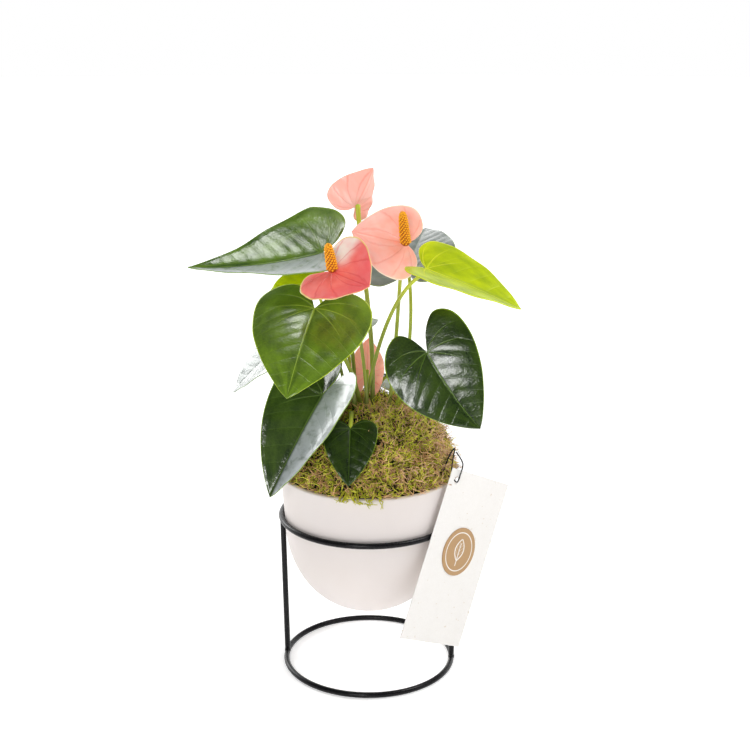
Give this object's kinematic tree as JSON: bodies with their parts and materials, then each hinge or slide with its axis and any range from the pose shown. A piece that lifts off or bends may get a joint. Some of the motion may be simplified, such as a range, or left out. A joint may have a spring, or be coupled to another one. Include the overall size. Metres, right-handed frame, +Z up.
{
  "type": "potted anthurium plant",
  "caption": "Potted flamingo flower with heart leaves and salmon spathes in a moss-topped round ceramic bowl, held in a black wire stand, with a paper gift tag.",
  "frame": {"origin": "on the floor, under the middle of the bounding box", "axes": "+Z up; +Y away from the side the plant faces; +X to the right of someone who looks at its face; the tag hangs on the +X side, towards -Y"},
  "size_m": [0.2212, 0.1788, 0.3551],
  "materials": {
    "stand": "satin",
    "bowl": "matte",
    "nursery": "matte",
    "soil": "matte",
    "moss": "matte",
    "crown": "matte",
    "leaf": "gloss",
    "leaf_young": "gloss",
    "stem": "satin",
    "sheath": "satin",
    "spathe": "satin",
    "spathe_coral": "satin",
    "spadix": "matte",
    "tag": "matte",
    "sticker": "matte",
    "tag_wire": "satin"
  },
  "bodies": {
    "root": {"ceramic_pot": "bowl", "crown": "crown", "leaf_back_centre": "leaf", "leaf_back_left": "leaf", "leaf_back_low": "leaf", "leaf_back_right": "leaf", "leaf_back_upper": "leaf", "leaf_behind_lower_left": "leaf", "leaf_front_left": "leaf", "leaf_front_small": "leaf", "leaf_lower_left": "leaf", "leaf_moss_left": "leaf", "leaf_right": "leaf", "leaf_upper_left": "leaf", "leaf_upper_right": "leaf_young", "leaf_young_left": "leaf_young", "moss_mound": "moss", "nursery_pot": "nursery", "peduncle_front": "stem", "peduncle_low": "stem", "peduncle_right": "stem", "peduncle_top": "stem", "petiole_back_centre": "stem", "petiole_back_left": "stem", "petiole_back_low": "stem", "petiole_back_right": "stem", "petiole_back_upper": "stem", "petiole_behind_lower_left": "stem", "petiole_front_left": "stem", "petiole_front_small": "stem", "petiole_lower_left": "stem", "petiole_moss_left": "stem", "petiole_right": "stem", "petiole_upper_left": "stem", "petiole_upper_right": "stem", "petiole_young_left": "stem", "root_ball": "soil", "sheath_left": "sheath", "sheath_right": "sheath", "spadix_front": "spadix", "spadix_low": "spadix", "spadix_right": "spadix", "spadix_top": "spadix", "spathe_front": "spathe_coral", "spathe_low": "spathe_coral", "spathe_right": "spathe", "spathe_top": "spathe", "stand_base_ring": "stand", "stand_leg_left": "stand", "stand_leg_right": "stand", "stand_top_ring": "stand", "tag_card": "tag", "tag_sticker": "sticker", "tag_wire": "tag_wire"}
  },
  "joints": []
}
